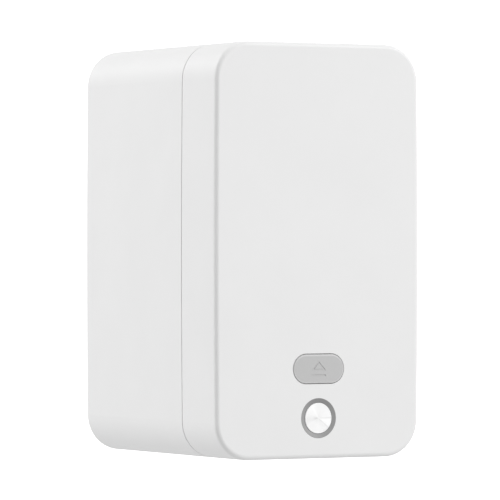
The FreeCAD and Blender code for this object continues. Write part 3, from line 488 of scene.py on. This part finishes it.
for p in line[1:]:
    gap = (p - dense[-1]).length
    if gap < 1e-4:
        continue
    k = max(1, int(gap / 0.35))
    q0 = dense[-1]
    for q in range(1, k + 1):
        dense.append(q0 + (p - q0) * q / k)
vs, fs = [], []
T2, XW, NX = 0.15, 4.0, 8
for k, p in enumerate(dense):
    t = (dense[min(k + 1, len(dense) - 1)] - dense[max(k - 1, 0)]).normalized()
    nrm = Vector((t.y, -t.x))
    ring_ = []
    for x in [-XW + 2 * XW * q / NX for q in range(NX + 1)]:
        ring_.append((x, p.x + nrm.x * T2, p.y + nrm.y * T2))
    for x in [XW - 2 * XW * q / NX for q in range(NX + 1)]:
        ring_.append((x, p.x - nrm.x * T2, p.y - nrm.y * T2))
    vs += [tuple(c3 * MM for c3 in r) for r in ring_]
R_ = 2 * (NX + 1)
for k in range(len(dense) - 1):
    for q in range(R_):
        q2 = (q + 1) % R_
        fs.append((k * R_ + q, k * R_ + q2, (k + 1) * R_ + q2, (k + 1) * R_ + q))
fs.append(tuple(reversed(range(R_))))
fs.append(tuple((len(dense) - 1) * R_ + q for q in range(R_)))
o = piece("button_ribbon_flex", vs, fs, M["ribbon"])
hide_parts("button_ribbon")
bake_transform(o)

# ------------------------------------------------------------------ stage: pale floor and backdrop, soft studio light
def stage_mesh(name, bm):
    me = bpy.data.meshes.new(name)
    bm.to_mesh(me)
    bm.free()
    o = bpy.data.objects.new(name, me)
    COL.objects.link(o)
    return o


def pale(name, v, strength):
    m, nt, b = new_mat(name)
    b.inputs["Base Color"].default_value = (v, v, v, 1)
    b.inputs["Roughness"].default_value = 0.9
    b.inputs["Specular IOR Level"].default_value = 0.0
    b.inputs["Emission Color"].default_value = (1, 1, 1, 1)
    b.inputs["Emission Strength"].default_value = strength
    return m


def only(o, camera=False, diffuse=False, glossy=False, shadow=False):
    o.visible_camera, o.visible_diffuse, o.visible_glossy, o.visible_shadow = camera, diffuse, glossy, shadow
    o.visible_transmission = o.visible_volume_scatter = False


# the floor lies low enough for the open cover to swing clear of it, and is seen from above only
bm = bmesh.new()
bmesh.ops.create_circle(bm, cap_ends=True, segments=64, radius=3.6)
floor = stage_mesh("floor", bm)
floor.location = (0, 0, -0.22)
fm = pale("pale_floor", 0.9, 1.1)
ft = fm.node_tree
geo, clear, mixs = ft.nodes.new("ShaderNodeNewGeometry"), ft.nodes.new("ShaderNodeBsdfTransparent"), ft.nodes.new("ShaderNodeMixShader")
fout = [k for k in ft.nodes if k.bl_idname == "ShaderNodeOutputMaterial"][0]
fb = [k for k in ft.nodes if k.bl_idname == "ShaderNodeBsdfPrincipled"][0]
ft.links.new(geo.outputs["Backfacing"], mixs.inputs[0])
ft.links.new(fb.outputs[0], mixs.inputs[1])
ft.links.new(clear.outputs[0], mixs.inputs[2])
ft.links.new(mixs.outputs[0], fout.inputs[0])
floor.data.materials.append(fm)
only(floor, camera=True)
bm = bmesh.new()
bmesh.ops.create_uvsphere(bm, u_segments=48, v_segments=24, radius=4.0)
dome = stage_mesh("backdrop", bm)
dome.data.materials.append(pale("pale_backdrop", 0.9, 1.1))
only(dome, camera=True)

world = bpy.data.worlds.new("studio")
S.world = world
world.use_nodes = True
wt = world.node_tree
bg = wt.nodes["Background"]
bg.inputs[0].default_value = (1, 1, 1, 1)
# even white surroundings, dimmed towards the near left corner of the studio by a dark flag
W_ALL, W_FLAG = 0.185, 0.535
FLAG = Vector((-0.72, -0.69, -0.20)).normalized()
tc = wt.nodes.new("ShaderNodeTexCoord")
dot = wt.nodes.new("ShaderNodeVectorMath")
dot.operation = "DOT_PRODUCT"
dot.inputs[1].default_value = FLAG
wt.links.new(tc.outputs["Generated"], dot.inputs[0])
lobe = wt.nodes.new("ShaderNodeMapRange")
lobe.interpolation_type = "SMOOTHSTEP"
lobe.inputs[1].default_value, lobe.inputs[2].default_value = 0.64, 0.94
lobe.inputs[3].default_value, lobe.inputs[4].default_value = W_ALL + W_FLAG, W_ALL
wt.links.new(dot.outputs["Value"], lobe.inputs[0])
wt.links.new(lobe.outputs[0], bg.inputs[1])


def softbox(name, pos, target, w, h, power):
    d = bpy.data.lights.new(name, "AREA")
    d.shape = "RECTANGLE"
    d.size, d.size_y = w, h
    d.energy = power
    o = bpy.data.objects.new(name, d)
    COL.objects.link(o)
    o.location = pos
    o.rotation_euler = (Vector(target) - Vector(pos)).to_track_quat("-Z", "Y").to_euler()
    o.visible_camera = False
    return o


LIGHTS = [
    ("key_right", (2.0, -2.3, 1.5), 1.6, 1.6, 46.0),
    ("fill_left", (-2.7, 0.9, 0.6), 1.5, 1.5, 1.8),
    ("near_left", (-0.45, 0.14, 0.36), 0.3, 0.3, 0.38),
    ("low_left", (-1.3, 0.55, -0.18), 0.5, 0.4, 1.9),
    ("top_left_front", (-0.9, -1.6, 2.2), 1.0, 1.0, 4.0),
    ("top_left_back", (-1.5, 1.6, 1.5), 1.0, 1.0, 15.5),
    ("top_right", (0.36, 0.25, 1.24), 0.5, 0.5, 0.5),
    ("overhead", (0.0, 0.0, 2.0), 1.0, 1.0, 0.9),
    ("overhead_left", (-0.7, -0.6, 1.9), 0.8, 0.8, 1.0),
    ("table_bounce", (-0.9, 0.3, -1.0), 0.6, 0.6, 2.4),
    ("front_low", (0.35, -0.9, 0.02), 0.7, 0.25, 1.0),
]
for name, pos, w, h, power in LIGHTS:
    softbox(name, pos, (0, 0, 0.06), w, h, power)
